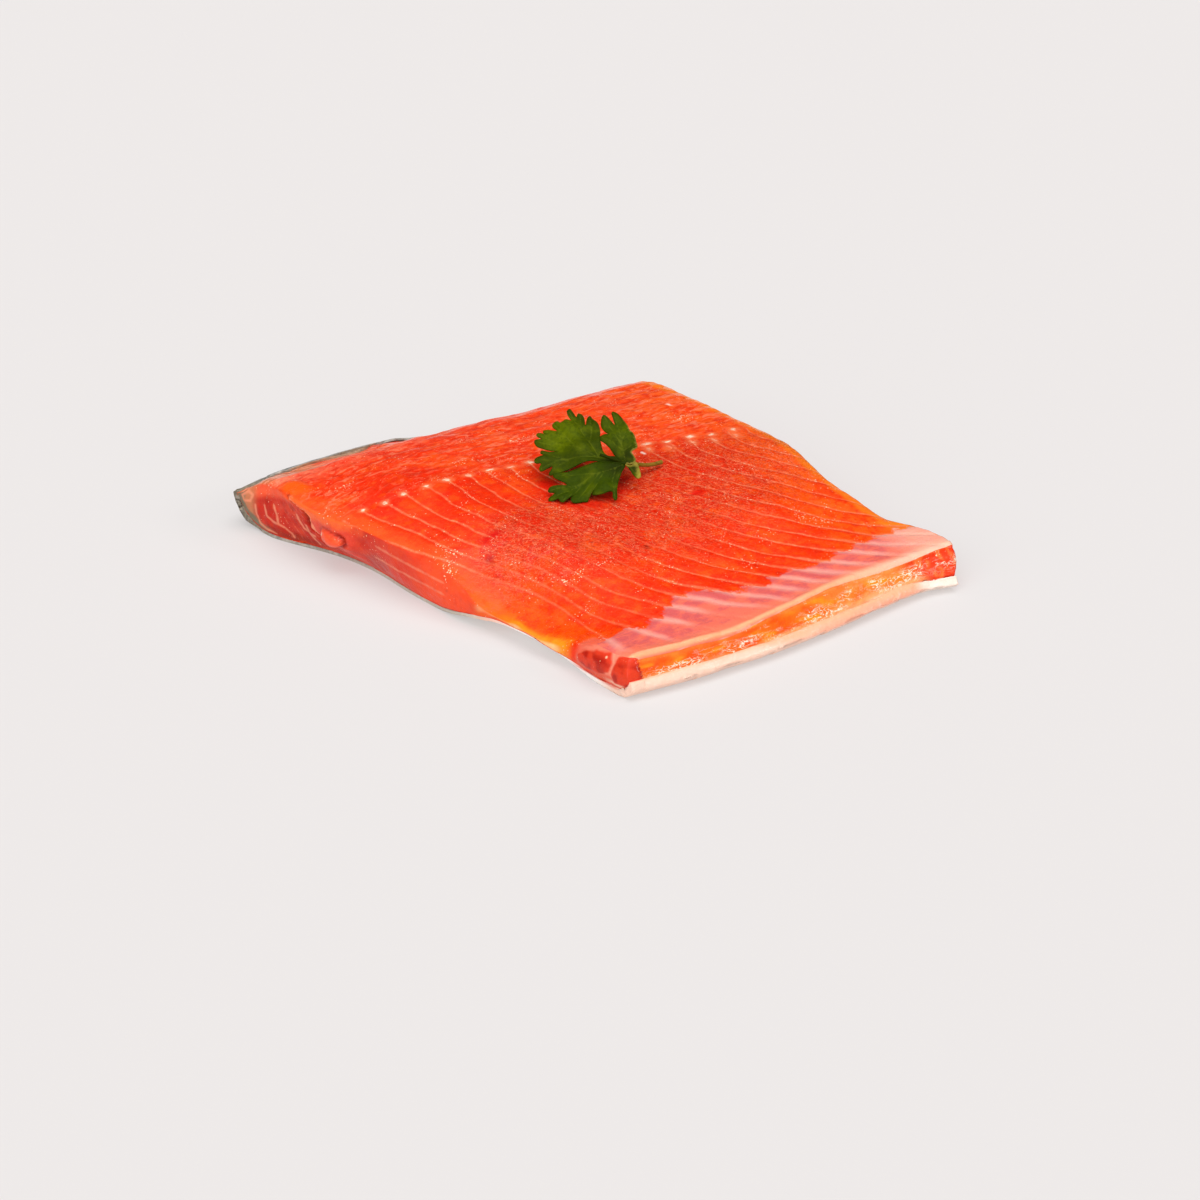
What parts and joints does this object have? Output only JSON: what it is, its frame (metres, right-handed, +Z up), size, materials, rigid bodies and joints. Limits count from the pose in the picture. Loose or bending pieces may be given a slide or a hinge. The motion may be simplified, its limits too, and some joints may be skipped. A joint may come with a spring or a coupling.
{
  "type": "salmon fillet",
  "caption": "Raw centre-cut salmon fillet lying on its silver skin: red-orange flesh with pale muscle lines, a pink belly lining with a cream rim, and a coriander leaf on top.",
  "frame": {"origin": "on the table, under the middle of the whole piece", "axes": "+Z up from the skin to the flesh side, +X along the fish towards the tail, +Y across it from the belly to the back"},
  "size_m": [0.1214, 0.1406, 0.0313],
  "materials": {
    "flesh": "moist raw fish flesh, glossy, orange-red",
    "skin": "wet fish skin, grey-silver at the back and white at the belly",
    "coriander_leaf": "fresh green leaf, satin"
  },
  "bodies": {
    "root": {"flesh": "flesh", "skin": "skin", "coriander_leaf": "coriander_leaf"}
  },
  "joints": []
}
